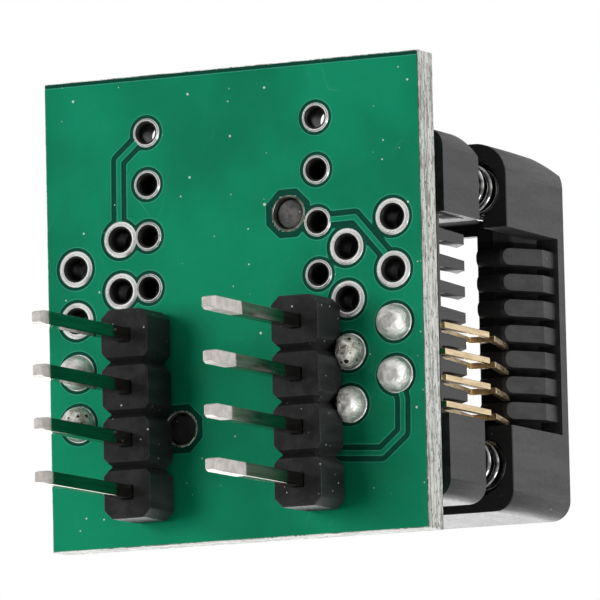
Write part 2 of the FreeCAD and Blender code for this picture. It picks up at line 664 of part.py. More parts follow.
def makeHeaderSolder():
    """Hollow-sided cones round the ends of the header's pins, above the board."""
    joints = []
    height = number(size["headerSolderHeight"])
    radii = [number(size[name]) for name in ("headerSolderRadius", "headerSolderShoulder", "headerSolderNeck")]
    pin = number(size["pinSide"])
    for row in "ab":
        for index in range(int(number(size["rowPins"]))):
            x = rowSide(row) * number(size["rowSpacing"]) / 2
            y = number(size["pinPitch"]) * (index - (number(size["rowPins"]) - 1) / 2)
            cone = solderJoint(x, y, number(boardTop), radii, (0, height / 2, height), False)
            post = Part.makeBox(pin, pin, height * 3, V(x - pin / 2, y - pin / 2, number(boardTop) - height))
            joints.append(cone.cut(post))
    solidNode("header_solder_joints", Part.makeCompound(joints))


makeBoard()
for row in "ab":
    makeHousing(row)
    for index in range(1, int(number(size["rowPins"])) + 1):
        makePin(row, index)
makeBase()
makeCover()
springPlaces = [(x, y) for x in (1, -1) for y in (-1, 1)]
for order, (x, y) in enumerate(springPlaces, start=1):
    makeSpring(order, x * size["springAcross"], size["socketShift"] + y * size["springAlong"])
for row in "ab":
    for index in range(1, int(number(size["rowContacts"])) + 1):
        makeContact(row, index)
        makeArm(row, index)
makeSocketSolder()
makeHeaderSolder()

doc.recompute()


def checkObjects():
    for item in doc.Objects:
        if "Invalid" in item.State or "Error" in item.State:
            raise RuntimeError(f"{item.Name} ({item.Label}) failed: {item.State}")
    for item in finished:
        shape = item.Shape
        if shape.isNull() or not shape.isValid():
            raise RuntimeError(f"{item.Label}: the shape isn't valid")


checkObjects()
os.makedirs("parts", exist_ok=True)
for item in finished:
    item.Shape.exportStep(f"parts/{item.Label}.step")
    print(item.Label, len(item.Shape.Solids), round(item.Shape.Volume, 3))
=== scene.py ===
import json
import math

import bmesh
import bpy
import numpy as np
from mathutils import Euler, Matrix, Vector, noise


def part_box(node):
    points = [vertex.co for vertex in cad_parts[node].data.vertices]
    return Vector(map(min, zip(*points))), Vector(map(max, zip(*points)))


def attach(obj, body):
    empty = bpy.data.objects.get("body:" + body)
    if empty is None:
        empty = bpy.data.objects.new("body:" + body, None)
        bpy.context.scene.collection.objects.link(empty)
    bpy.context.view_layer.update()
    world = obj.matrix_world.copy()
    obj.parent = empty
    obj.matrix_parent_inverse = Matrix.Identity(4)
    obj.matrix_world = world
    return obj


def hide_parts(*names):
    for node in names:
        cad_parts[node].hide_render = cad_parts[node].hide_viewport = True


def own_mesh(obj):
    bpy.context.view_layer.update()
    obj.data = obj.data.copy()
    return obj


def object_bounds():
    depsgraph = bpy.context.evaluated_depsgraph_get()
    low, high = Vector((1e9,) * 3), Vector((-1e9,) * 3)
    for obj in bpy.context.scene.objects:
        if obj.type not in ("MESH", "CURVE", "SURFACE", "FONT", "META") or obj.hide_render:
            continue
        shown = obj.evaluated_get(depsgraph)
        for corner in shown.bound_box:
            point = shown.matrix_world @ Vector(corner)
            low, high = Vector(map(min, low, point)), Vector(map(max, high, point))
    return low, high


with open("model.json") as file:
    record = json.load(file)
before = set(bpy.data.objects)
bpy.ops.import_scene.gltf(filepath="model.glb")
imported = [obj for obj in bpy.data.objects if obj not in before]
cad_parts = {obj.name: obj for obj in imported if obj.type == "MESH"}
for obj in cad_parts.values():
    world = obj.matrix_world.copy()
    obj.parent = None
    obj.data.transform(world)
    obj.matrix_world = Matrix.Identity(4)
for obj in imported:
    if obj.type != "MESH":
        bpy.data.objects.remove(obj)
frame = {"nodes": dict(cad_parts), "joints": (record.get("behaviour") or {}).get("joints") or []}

# Chip programming adapter, seen from below: green board, eight long pins, spring socket above it
cadLow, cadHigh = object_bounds()
mm = 0.001
collection = bpy.context.scene.collection


# Shader maths

class Signal:
    # one socket in an expression, so that masks read as sums and products
    def __init__(self, finish, socket):
        self.finish = finish
        self.socket = socket

    def __add__(self, other):
        return self.finish.calc("ADD", self, other)

    def __radd__(self, other):
        return self.finish.calc("ADD", other, self)

    def __sub__(self, other):
        return self.finish.calc("SUBTRACT", self, other)

    def __rsub__(self, other):
        return self.finish.calc("SUBTRACT", other, self)

    def __mul__(self, other):
        return self.finish.calc("MULTIPLY", self, other)

    def __rmul__(self, other):
        return self.finish.calc("MULTIPLY", other, self)

    def __gt__(self, other):
        return self.finish.calc("GREATER_THAN", self, other)

    def __lt__(self, other):
        return self.finish.calc("LESS_THAN", self, other)


class Finish:
    # a material or a world, with its nodes made by one method
    def __init__(self, holder):
        holder.use_nodes = True
        self.holder = holder
        self.tree = holder.node_tree
        self.tree.nodes.clear()

    def add(self, kind, settings=None, sockets=None, out=0):
        node = self.tree.nodes.new(kind)
        for name, value in (settings or {}).items():
            setattr(node, name, value)
        for name, value in (sockets or {}).items():
            if isinstance(value, Signal):
                self.tree.links.new(value.socket, node.inputs[name])
            else:
                node.inputs[name].default_value = value
        return Signal(self, node.outputs[out]) if node.outputs else None

    def calc(self, operation, *values):
        return self.add("ShaderNodeMath", {"operation": operation}, dict(enumerate(values)))

    def most(self, one, other):
        return self.calc("MAXIMUM", one, other)

    def step(self, value, low, high, start=0.0, end=1.0):
        sockets = {"Value": value, "From Min": low, "From Max": high, "To Min": start, "To Max": end}
        return self.add("ShaderNodeMapRange", {"interpolation_type": "SMOOTHSTEP"}, sockets)

    def blend(self, factor, one, other):
        both = [(*colour, 1.0) if isinstance(colour, tuple) else colour for colour in (one, other)]
        return self.add("ShaderNodeMix", {"data_type": "RGBA"}, {0: factor, 6: both[0], 7: both[1]}, 2)

    def millimetres(self, stretch=(1.0, 1.0, 1.0)):
        # object coordinates in millimetres, drawn out along an axis where stretch is below one
        where = self.add("ShaderNodeTexCoord", out="Object")
        scale = tuple(amount / mm for amount in stretch)
        return self.add("ShaderNodeMapping", sockets={"Vector": where, "Scale": scale})

    def grain(self, scale, detail=2.0, roughness=0.5, stretch=(1.0, 1.0, 1.0)):
        where = self.millimetres(stretch)
        sockets = {"Vector": where, "Scale": scale, "Detail": detail, "Roughness": roughness}
        return self.add("ShaderNodeTexNoise", sockets=sockets)

    def specks(self, scale, radius, share, flat=False):
        # small round dots, one in some of the cells of a scattered grid, which is flat on a level face
        smallest = 0.4  # of the radius
        sockets = {"Vector": self.millimetres(), "Scale": scale}
        settings = {"voronoi_dimensions": "2D" if flat else "3D"}
        near = self.add("ShaderNodeTexVoronoi", settings, sockets, "Distance")
        chosen = self.add("ShaderNodeTexVoronoi", settings, sockets, "Color")
        part = self.add("ShaderNodeSeparateColor", sockets={"Color": chosen}, out="Red")
        size = self.add("ShaderNodeSeparateColor", sockets={"Color": chosen}, out="Green")
        return (near < radius * (smallest + size)) * (part < share)

    def hairlines(self, scale, width, stretch):
        # long thin scores, where a drawn-out noise crosses its middle value, in patches
        apart = self.calc("ABSOLUTE", self.grain(scale, 1.0, 0.5, stretch) - 0.5)
        patches = self.step(self.grain(scale * 0.7, 1.0), 0.56, 0.62)
        return (apart < width) * patches

    def axis(self, name):
        return self.add("ShaderNodeSeparateXYZ", sockets={"Vector": self.millimetres()}, out=name)

    def fromPitch(self, start, pitch):
        # distance in mm along Y from the nearest of a row of places
        return self.calc("PINGPONG", self.axis("Y") - start, pitch / 2)

    def inside(self, middle, half, soft=0.2):
        # one within a box given in millimetres, fading over its border
        sockets = {0: self.millimetres(), 1: middle}
        apart = self.add("ShaderNodeVectorMath", {"operation": "SUBTRACT"}, sockets, "Vector")
        apart = self.add("ShaderNodeVectorMath", {"operation": "ABSOLUTE"}, {0: apart}, "Vector")
        share = 1.0
        for axis, reach in zip("XYZ", half):
            distance = self.add("ShaderNodeSeparateXYZ", sockets={"Vector": apart}, out=axis)
            share = self.step(distance, reach, reach - soft) * share
        return share

    def bump(self, height, depth):
        sockets = {"Height": height, "Distance": depth * mm, "Strength": 1.0}
        return self.add("ShaderNodeBump", sockets=sockets)

    def surface(self, sockets):
        shader = self.add("ShaderNodeBsdfPrincipled", sockets=sockets)
        self.add("ShaderNodeOutputMaterial", sockets={"Surface": shader})
        return self.holder


def finishOf(name):
    return Finish(bpy.data.materials.new(name))


# Materials. Colours that come in pairs are the darkest and the lightest of one surface
# the rim colour is a painted highlight where the raised copper's edge would catch the light
maskLook = {"copper": ((0.002, 0.205, 0.098), (0.004, 0.285, 0.140)), "gap": (0.002, 0.062, 0.038),
            "streak": (0.010, 0.350, 0.190), "rim": (0.06, 0.42, 0.28), "score": (0.10, 0.45, 0.32),
            "dust": (0.80, 0.86, 0.80), "rough": (0.24, 0.34), "depth": 0.03, "ior": 1.45, "sheen": 0.12}


def solderMask(name, relief):
    # green mask: lighter over copper, dark over the gaps, with a faint painted highlight along the edge
    # between them
    look = maskLook
    finish = finishOf(name)
    edge = finish.add("ShaderNodeAttribute", {"attribute_name": "copperEdge"}, out="Fac")
    copper = finish.step(edge, -0.03, 0.03)
    # rim: where the painted highlight lies
    rim = finish.step(edge, 0.0, 0.02) * finish.step(edge, 0.06, 0.025)
    cloud = finish.grain(0.16, 3.0)
    streak = finish.grain(0.55, 4.0, 0.6, stretch=(1.0, 0.12, 1.0))
    light = finish.blend(finish.step(cloud, 0.35, 0.7), *look["copper"])
    light = finish.blend(finish.step(streak, 0.5, 0.8, 0.0, 0.2), light, look["streak"])
    colour = finish.blend(copper, look["gap"], light)
    colour = finish.blend(rim * (0.8 * relief), colour, look["rim"])
    scores = finish.hairlines(0.5, 0.0016, stretch=(1.0, 0.35, 1.0))
    colour = finish.blend(scores * 0.3, colour, look["score"])
    smallDust = finish.specks(1.1, 0.040, 0.10, flat=True)
    sparseDust = finish.specks(0.5, 0.026, 0.3, flat=True)
    dust = finish.most(smallDust, sparseDust)
    colour = finish.blend(dust * 0.8, colour, look["dust"])
    peel = finish.grain(2.2, 3.0)
    height = copper * 0.8 + peel * 0.1 + dust * 0.5
    return finish.surface({
        "Base Color": colour,
        "Roughness": finish.step(peel, 0.2, 0.8, *look["rough"]) + dust * 0.3,
        "Normal": finish.bump(height, look["depth"] * relief),
        "IOR": look["ior"],
        "Specular IOR Level": look["sheen"],
    })


laminateLook = {"layers": ((0.27, 0.28, 0.25), (0.84, 0.85, 0.81)), "fibre": (0.95, 0.95, 0.92),
                "dirt": (0.08, 0.08, 0.07), "rough": (0.5, 0.75), "depth": 0.03}


def laminate():
    # sawn glass-fibre edge: pale, with the weave's layers and dark scores along it
    look = laminateLook
    finish = finishOf("laminate")
    layers = finish.grain(1.0, 5.0, 0.7, stretch=(0.45, 0.45, 4.2))
    fibres = finish.grain(3.6, 4.0, 0.65, stretch=(0.5, 0.5, 2.6))
    dirt = finish.grain(3.2, 4.0, 0.7, stretch=(0.8, 0.8, 1.8))
    colour = finish.blend(finish.step(layers, 0.40, 0.58), *look["layers"])
    colour = finish.blend(finish.step(fibres, 0.52, 0.62, 0.0, 0.8), colour, look["fibre"])
    colour = finish.blend(finish.step(dirt, 0.56, 0.62, 0.0, 0.85), colour, look["dirt"])
    return finish.surface({
        "Base Color": colour,
        "Roughness": finish.step(fibres, 0.3, 0.7, *look["rough"]),
        "Normal": finish.bump(layers * 0.7 + fibres * 0.5, look["depth"]),
    })


def metal(name, dark, light, rough, lumps, depth, soil=0.0, mirror=1.0):
    # bright metal whose sheen and tint wander over so many lumps to the mm, pitted where it is soiled
    finish = finishOf(name)
    wander = finish.grain(lumps, 3.0, 0.55)
    fine = finish.grain(lumps * 4.0, 2.0)
    colour = finish.blend(finish.step(wander, 0.36, 0.62), dark, light)
    if soil:
        soot = (0.030, 0.024, 0.016)
        burnt = finish.step(finish.grain(lumps * 1.7, 4.0, 0.65), 0.66 - soil, 0.72 - soil * 0.6)
        pits = finish.specks(2.6, 0.24, 0.7)
        colour = finish.blend(finish.most(burnt * 0.7, pits), colour, soot)
    return finish.surface({
        "Base Color": colour,
        "Metallic": mirror,
        "Roughness": finish.step(fine * 0.5 + wander * 0.5, 0.35, 0.65, *rough),
        "Normal": finish.bump(wander * 0.75 + fine * 0.25, depth),
    })


# the darkest colour here is painted shade for hollows, gaps and under edges, where it also dulls the plastic
plasticLook = {"dust": (0.5, 0.5, 0.47), "paintedShade": (0.002, 0.002, 0.002), "paintedShadeShare": 0.85,
               "paintedShadeRough": 0.4, "ribFade": (-0.02, 0.01)}


def plastic(name, dark, light, rough, sheen, grains, depth, dustShare, paintedShades=()):
    # moulded black plastic: fine skin, long flow streaks, pale dust, and dark dull painted shade in hollows.
    # Each is a box in mm. One that lies between ribs has the place of a rib, their pitch and half a rib's
    # width
    look = plasticLook
    finish = finishOf(name)
    skin = finish.grain(grains, 3.0, 0.6)
    flow = finish.grain(1.3, 4.0, 0.65, stretch=(1.0, 1.0, 0.12))
    colour = finish.blend(finish.step(flow, 0.35, 0.7), dark, light)
    dust = finish.specks(2.4, 0.09, dustShare)
    colour = finish.blend(dust, colour, look["dust"])
    roughness = finish.step(skin * 0.6 + flow * 0.4, 0.3, 0.7, *rough) + dust * 0.3
    # each box is painted shade: the plastic inside it is darkened and made duller
    for paintedShade in paintedShades:
        deep = finish.inside(paintedShade["middle"], paintedShade["half"])
        if "ribs" in paintedShade:
            ribs = paintedShade["ribs"]
            apart = finish.fromPitch(ribs["start"], ribs["pitch"])
            deep = deep * finish.step(apart, *[ribs["half"] + fade for fade in look["ribFade"]])
        colour = finish.blend(deep * look["paintedShadeShare"], colour, look["paintedShade"])
        roughness = roughness + deep * look["paintedShadeRough"]
    return finish.surface({
        "Base Color": colour,
        "Roughness": roughness,
        "Normal": finish.bump(skin * 0.6 + flow * 0.5 + dust, depth),
        "Specular IOR Level": sheen,
    })


# the pale colours are a painted reflection on each pin's end
pinLook = {"bright": ((0.24, 0.23, 0.19), (0.34, 0.32, 0.28)),
           "paleReflection": ((0.60, 0.55, 0.52), (0.76, 0.71, 0.68)), "rough": (0.07, 0.15), "paleReflectionRough": 0.35,
           "depth": 0.012, "fade": 0.14, "reflectionFringe": 0.22, "reflectionFringeFrom": 1.5, "reflectionFringeFade": (-1.0, 2.0)}


def pinMetal():
    # tinned square wire, mirror-bright, with a pale matte end as long as each pin says, its pale colour a
    # painted reflection, and beyond the longer ones a faint grey fringe of that painted reflection
    look = pinLook
    finish = finishOf("pinMetal")
    tip = -pinTip / mm
    where = finish.axis("Z")
    length = finish.add("ShaderNodeAttribute", {"attribute_name": "paleReflectionEnd"}, out="Fac")
    wave = finish.grain(0.9, 2.0, 0.5, stretch=(1.0, 1.0, 0.3))
    drag = finish.grain(7.0, 3.0, 0.6, stretch=(1.0, 1.0, 0.06))
    # where the painted reflection lies, and its fainter fringe beyond
    end = finish.step(length + wave * 0.3 - where, tip - look["fade"], tip + look["fade"])
    beyond = finish.step(length * 2.2 - where, *[tip + fade for fade in look["reflectionFringeFade"]])
    reflectionFringe = beyond * (length > look["reflectionFringeFrom"]) * look["reflectionFringe"]
    bright = finish.blend(finish.step(drag, 0.35, 0.65), *look["bright"])
    paleReflection = finish.blend(finish.step(finish.grain(2.6, 2.0), 0.35, 0.65), *look["paleReflection"])
    return finish.surface({
        "Base Color": finish.blend(end, bright, paleReflection),
        "Metallic": 1.0 - finish.most(end * 0.85, reflectionFringe),
        "Roughness": finish.step(drag, 0.3, 0.7, *look["rough"]) + end * look["paleReflectionRough"],
        "Normal": finish.bump(wave * 0.8 + drag * 0.1, look["depth"]),
    })


goldLook = {"strip": ((0.68, 0.51, 0.29), (0.86, 0.69, 0.44)), "worn": (0.42, 0.29, 0.14),
            "rough": (0.24, 0.34), "depth": 0.002}


def contactGold():
    # stamped strip with a thin gold flash, streaked as it was rolled and worn in patches
    look = goldLook
    finish = finishOf("contactGold")
    rolled = finish.grain(5.0, 4.0, 0.6, stretch=(1.0, 1.0, 0.12))
    cloud = finish.grain(1.2, 3.0)
    colour = finish.blend(finish.step(rolled, 0.3, 0.7), *look["strip"])
    colour = finish.blend(finish.step(cloud, 0.58, 0.75, 0.0, 0.4), colour, look["worn"])
    return finish.surface({
        "Base Color": colour,
        "Metallic": 1.0,
        "Roughness": finish.step(rolled, 0.3, 0.7, *look["rough"]),
        "Normal": finish.bump(rolled, look["depth"]),
    })


# Meshes
softening = {"merge": 0.0005, "flatAngle": 0.6, "sharpAngle": 35}


def meshOf(name, bm):
    mesh = bpy.data.meshes.new(name)
    bm.to_mesh(mesh)
    bm.free()
    return mesh


def pieceOf(name, bm, material, body, stands=(), smooth=False):
    return placed(name, meshOf(name, bm), material, body, stands, smooth)


def placed(name, mesh, material, body, stands=(), smooth=False):
    mesh.materials.clear()
    mesh.materials.append(material)
    if smooth:
        mesh.polygons.foreach_set("use_smooth", [True] * len(mesh.polygons))
    piece = bpy.data.objects.new(name, mesh)
    collection.objects.link(piece)
    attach(piece, body)
    if stands:
        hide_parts(*stands)
    return piece


def evaluated(holder, name):
    # the mesh that an object's modifiers make, with the holder then removed
    bpy.context.view_layer.update()
    graph = bpy.context.evaluated_depsgraph_get()
    mesh = bpy.data.meshes.new_from_object(holder.evaluated_get(graph), depsgraph=graph)
    mesh.name = name
    bpy.data.objects.remove(holder)
    return mesh


def softened(node, name, material, body, width, segments=2, reshape=None):
    # the node's own form with its sharp edges rounded, after a change of shape where one is given
    bm = bmesh.new()
    bm.from_mesh(frame["nodes"][node].data)
    bmesh.ops.remove_doubles(bm, verts=bm.verts, dist=softening["merge"] * mm)
    bmesh.ops.dissolve_limit(bm, angle_limit=math.radians(softening["flatAngle"]), verts=bm.verts,
                             edges=bm.edges)
    if reshape:
        reshape(bm)
    holder = bpy.data.objects.new(name + "Form", meshOf(name, bm))
    collection.objects.link(holder)
    bevel = holder.modifiers.new("Round", "BEVEL")
    bevel.width = width * mm
    bevel.segments = segments
    bevel.limit_method = "ANGLE"
    bevel.angle_limit = math.radians(softening["sharpAngle"])
    bevel.use_clamp_overlap = True
    bevel.harden_normals = True
    return placed(name, evaluated(holder, name), material, body, (node,))


def nodeTree(name, inputs):
    # an empty modifier tree with geometry in and out and the named inputs
    tree = bpy.data.node_groups.new(name, "GeometryNodeTree")
    tree.interface.new_socket("Geometry", in_out="INPUT", socket_type="NodeSocketGeometry")
    for label, kind in inputs.items():
        tree.interface.new_socket(label, in_out="INPUT", socket_type="NodeSocket" + kind)
    tree.interface.new_socket("Geometry", in_out="OUTPUT", socket_type="NodeSocketGeometry")
    return tree, tree.nodes.new("NodeGroupInput"), tree.nodes.new("NodeGroupOutput")


def wired(tree, kind, sockets, settings=None):
    node = tree.nodes.new(kind)
    for name, value in (settings or {}).items():
        setattr(node, name, value)
    for name, value in sockets.items():
        if isinstance(value, bpy.types.NodeSocket):
            tree.links.new(value, node.inputs[name])
        else:
            node.inputs[name].default_value = value
    return node


def closeTree(tree, start, end, copies):
    # what each tree ends in: plain geometry with its metal on it
    plain = wired(tree, "GeometryNodeRealizeInstances", {"Geometry": copies.outputs["Instances"]})
    dressed = wired(tree, "GeometryNodeSetMaterial", {
        "Geometry": plain.outputs["Geometry"], "Material": start.outputs["Metal"]})
    tree.links.new(dressed.outputs["Geometry"], end.inputs["Geometry"])
    return tree


def grown(name, tree, points, values):
    # runs a tree on a cloud of points and returns the plain mesh
    cloud = bpy.data.meshes.new(name + "Points")
    cloud.from_pydata(points, [], [])
    holder = bpy.data.objects.new(name + "Holder", cloud)
    collection.objects.link(holder)
    modifier = holder.modifiers.new(name, "NODES")
    modifier.node_group = tree
    for item in tree.interface.items_tree:
        if item.in_out == "INPUT" and item.name in values:
            modifier[item.identifier] = values[item.name]
    return evaluated(holder, name)


# Where things are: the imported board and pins, and the layout of the board's holes in mm
boardLow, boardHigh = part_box("circuit_board")
boardThick = (boardHigh.z - boardLow.z) / mm
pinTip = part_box("header_pin_a1")[0].z
boardLayout = {"pinPitch": 2.54, "columnHoles": 8, "pinsInColumn": 4, "rowSpacing": 9.14,
               "housingWidth": 2.5, "chipPitch": 1.27, "rowPositions": 8, "outerTails": 8.55,
               "innerTails": 6.09, "socketShift": 4.4, "pegAcross": 3.02, "pegAlong": 5.02}


def headerHoles():
    # both columns, each from its first pin
    layout = boardLayout
    half = layout["rowSpacing"] / 2
    first = -(layout["pinsInColumn"] - 1) / 2 * layout["pinPitch"]
    return [(side * half, first + layout["pinPitch"] * step)
            for side in (1, -1) for step in range(layout["columnHoles"])]


def tailHoles():
    # staggered: neighbouring places swap between the inner and the outer line
    layout = boardLayout
    first = layout["socketShift"] - layout["chipPitch"] * (layout["rowPositions"] - 1) / 2
    places = []
    for side in (1, -1):
        for step in range(layout["rowPositions"]):
            outer = (step % 2 == 0) == (side > 0)
            across = layout["outerTails"] if outer else layout["innerTails"]
            places.append((side * across, first + layout["chipPitch"] * step))
    return places


def pegHoles():
    layout = boardLayout
    return [(side * layout["pegAcross"], layout["socketShift"] - side * layout["pegAlong"])
            for side in (1, -1)]


# Board faces: mask with the copper's gaps pressed into it, in mm
boardFace = {"headerPad": 0.72, "headerHole": 0.5, "tailPad": 0.90, "tailHole": 0.575, "pegPad": 0.90,
             "pegHole": 0.75, "pegGap": 1.18, "padGap": 0.15, "traceWidth": 0.28, "traceGap": 0.27,
             "underCell": 0.1, "upperCell": 0.2, "inset": 0.04, "raise": 0.012, "relief": 0.03,
             "slope": 0.03, "endMargin": 0.22, "faraway": 9.0}

underTraces = [
    [(4.53, 14.01), (6.09, 12.71), (6.13, 9.72), (6.09, 8.845)],
    [(-4.64, 8.93), (-6.57, 8.97), (-8.11, 7.16), (-8.55, 6.305)],
    [(-5.26, -2.33), (-7.7, -2.49), (-8.84, -1.56), (-8.88, 0.02), (-8.55, 1.225)],
]
upperTraces = [
    [(4.57, -1.27), (6.09, 1.225)],
    [(4.57, 3.81), (6.09, 3.765)],
    [(-4.57, -1.27), (-6.09, -0.045)],
    [(-4.57, 1.27), (-6.09, 2.495)],
    [(4.57, 11.43), (7.4, 10.9), (8.55, 7.575)],
    [(-4.57, 11.43), (-7.4, 10.9), (-8.55, 8.845)],
]


def toLine(x, y, start, end):
    # distance of every point from a straight stretch of trace
    across, along = end[0] - start[0], end[1] - start[1]
    share = ((x - start[0]) * across + (y - start[1]) * along) / (across ** 2 + along ** 2)
    share = np.clip(share, 0, 1)
    return np.hypot(x - start[0] - share * across, y - start[1] - share * along)


def copperEdge(x, y, traces):
    # distance in mm into the copper from its nearest edge, negative in a gap
    plan = boardFace
    gap = np.full(x.shape, plan["faraway"])
    for places, radius in ((headerHoles(), plan["headerPad"]), (tailHoles(), plan["tailPad"])):
        for across, along in places:
            gap = np.minimum(gap, np.hypot(x - across, y - along) - radius - plan["padGap"])
    for across, along in pegHoles():
        right, up = np.abs(x - across), np.abs(y - along)
        eightSided = np.maximum(np.maximum(right, up), (right + up) / math.sqrt(2))
        gap = np.minimum(gap, eightSided - plan["pegGap"])
    strip = np.full(x.shape, plan["faraway"])
    for trace in traces:
        for start, end in zip(trace, trace[1:]):
            strip = np.minimum(strip, toLine(x, y, start, end))
    gap = np.minimum(gap, strip - plan["traceWidth"] / 2 - plan["traceGap"])
    gap = np.minimum(gap, boardHigh.y / mm - plan["endMargin"] - y)
    return np.maximum(gap, plan["traceWidth"] / 2 - strip)


def fromHoles(x, y):
    # distance in mm outside the nearest ring's middle, negative where the mask is left open
    plan = boardFace
    apart = np.full(x.shape, plan["faraway"])
    for kind, places in (("header", headerHoles()), ("tail", tailHoles()), ("peg", pegHoles())):
        middle = (plan[kind + "Hole"] + plan[kind + "Pad"]) / 2
        for across, along in places:
            apart = np.minimum(apart, np.hypot(x - across, y - along) - middle)
    return apart


def boardSkin(name, traces, under, cell, material):
    plan = boardFace
    low = [boardLow[axis] / mm + plan["inset"] for axis in (0, 1)]
    high = [boardHigh[axis] / mm - plan["inset"] for axis in (0, 1)]
    counts = [int(round((high[axis] - low[axis]) / cell)) + 1 for axis in (0, 1)]
    lines = [np.linspace(low[axis], high[axis], counts[axis]) for axis in (0, 1)]
    x, y = np.meshgrid(*lines)
    edge = copperEdge(x, y, traces)
    lift = plan["raise"] + plan["relief"] * (1 / (1 + np.exp(-edge / plan["slope"])))
    level = boardLow.z / mm - lift if under else boardHigh.z / mm + lift
    points = np.stack([x.ravel(), y.ravel(), level.ravel()], axis=1) * mm
    apart = fromHoles(x, y)
    faces = []
    for row in range(counts[1] - 1):
        for column in range(counts[0] - 1):
            if apart[row:row + 2, column:column + 2].min() < 0:
                continue
            corner = row * counts[0] + column
            face = (corner, corner + 1, corner + counts[0] + 1, corner + counts[0])
            faces.append(face[::-1] if under else face)
    mesh = bpy.data.meshes.new(name)
    mesh.from_pydata(points.tolist(), [], faces)
    values = mesh.attributes.new("copperEdge", "FLOAT", "POINT")
    values.data.foreach_set("value", np.clip(edge, -1, 1).astype(np.float32).ravel())
    bm = bmesh.new()
    bm.from_mesh(mesh)
    loose = [vert for vert in bm.verts if not vert.link_faces]
    bmesh.ops.delete(bm, geom=loose, context="VERTS")
    bm.to_mesh(mesh)
    bm.free()
    return placed(name, mesh, material, "adapter", smooth=True)


# Rings round the holes, and the holes' walls, in mm
ringShape = {"steps": 40, "sway": 0.2, "swayPitch": 1.7, "profilePitch": 7, "flare": 0.10, "lip": 0.02,
             "shoulder": 0.10, "brow": 0.03, "wallGap": 0.012, "wallEnd": 0.004,
             "headerSwell": 0.035, "tailSwell": 0.045, "pegSwell": 0.0}


def revolved(name, profiles, sway=0.0):
    # open profiles of radius and height in mm turned about Z, their height swaying a little
    bm = bmesh.new()
    steps, pitch = ringShape["steps"], ringShape["swayPitch"]
    for profile in profiles:
        depth = profile[0][0] * ringShape["profilePitch"]
        loops = []
        for turn in range(steps):
            angle = 2 * math.pi * turn / steps
            lift = sway * noise.noise(Vector((math.cos(angle) * pitch, math.sin(angle) * pitch, depth)))
            loops.append([bm.verts.new((radius * math.cos(angle) * mm, radius * math.sin(angle) * mm,
                                        height * (1 + lift) * mm)) for radius, height in profile])
        for turn in range(steps):
            one, other = loops[turn], loops[(turn + 1) % steps]
            for place in range(len(profile) - 1):
                bm.faces.new((one[place], one[place + 1], other[place + 1], other[place]))
    mesh = meshOf(name, bm)
    mesh.polygons.foreach_set("use_smooth", [True] * len(mesh.polygons))
    return mesh


def ringProfiles(hole, pad, swell):
    # the ring on each face, a low crown from its outer edge to the hole's mouth
    shape = ringShape
    rise = boardFace["raise"] + boardFace["relief"]
    mouth = hole + shape["flare"]
    outline = [(pad, 0.0), (pad - shape["lip"], rise * 0.9), (pad - shape["shoulder"], rise + swell * 0.8),
               ((pad + mouth) / 2, rise + swell), (mouth + shape["brow"], rise + swell * 0.6),
               (mouth - shape["lip"], rise)]
    under = [(radius, -height) for radius, height in outline]
    upper = [(radius, boardThick + height) for radius, height in reversed(outline)]
    return [under, upper]


def wallProfile(hole):
    # the plated wall of a hole, seen from inside it, with a flare to the ring at each end, later painted
    # near black as shade
    shape = ringShape
    rise = boardFace["raise"] + boardFace["relief"]
    wide, narrow = hole + shape["flare"], hole - shape["wallGap"]
    return [[(wide, -rise), (narrow, -shape["wallEnd"]), (narrow, boardThick + shape["wallEnd"]),
             (wide, boardThick + rise)]]


def ringTree():
    # one ring at every point, each turned by its own angle
    tree, start, end = nodeTree("RingsAtHoles", {
        "Ring": "Object", "Seed": "Int", "Turn": "Float", "Metal": "Material"})
    ring = wired(tree, "GeometryNodeObjectInfo", {"Object": start.outputs["Ring"]})
    turn = wired(tree, "FunctionNodeRandomValue", {"Seed": start.outputs["Seed"]}, {"data_type": "FLOAT"})
    tree.links.new(start.outputs["Turn"], turn.inputs[3])
    spin = wired(tree, "ShaderNodeCombineXYZ", {"Z": turn.outputs[1]})
    rings = wired(tree, "GeometryNodeInstanceOnPoints", {
        "Points": start.outputs["Geometry"], "Instance": ring.outputs["Geometry"],
        "Rotation": spin.outputs["Vector"]})
    return closeTree(tree, start, end, rings)


